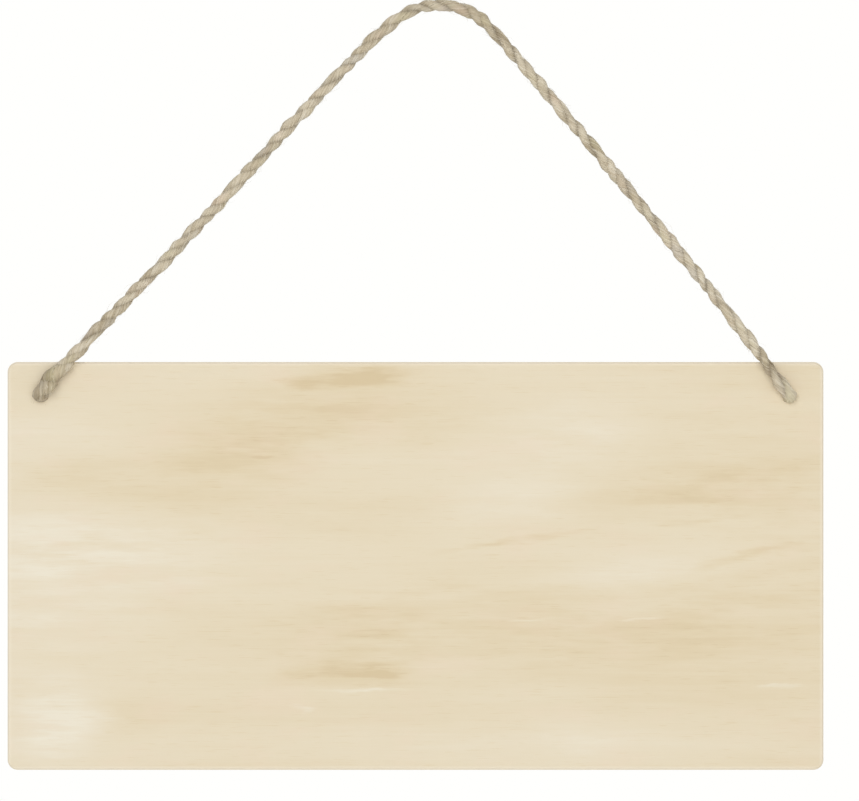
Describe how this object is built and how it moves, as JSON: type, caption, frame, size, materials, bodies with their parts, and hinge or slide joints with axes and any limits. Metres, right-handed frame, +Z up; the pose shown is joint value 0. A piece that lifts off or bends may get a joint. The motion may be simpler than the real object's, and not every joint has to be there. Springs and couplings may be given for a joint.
{
  "type": "hanging plaque",
  "caption": "Blank rectangular plywood plaque with rounded corners, hung by a twisted jute cord that enters its top corners from the front and is knotted behind the board.",
  "frame": {"origin": "hang point: the underside of the cord's bight, where a peg or hook carries the plaque", "axes": "+Z up, +X to the right as seen from the front, the front face looks along -Y"},
  "size_m": [0.2, 0.0165, 0.1887],
  "materials": {
    "face_veneer": "unfinished, sanded",
    "core_veneer": "unfinished, cut edge",
    "jute": "twisted natural fibre"
  },
  "bodies": {
    "cord_loop": {"hanging_cord": "jute"},
    "plaque": {"front_veneer": "face_veneer", "core_ply": "core_veneer", "back_veneer": "face_veneer", "left_stop_knot": "jute", "right_stop_knot": "jute"}
  },
  "joints": [
    {"name": "plaque_swing", "type": "hinge", "parent": "cord_loop", "child": "plaque", "pos_m": [-0.006, 0, -0.09395], "axis": [-1, 0, 0], "range_deg": [0, 180]}
  ]
}
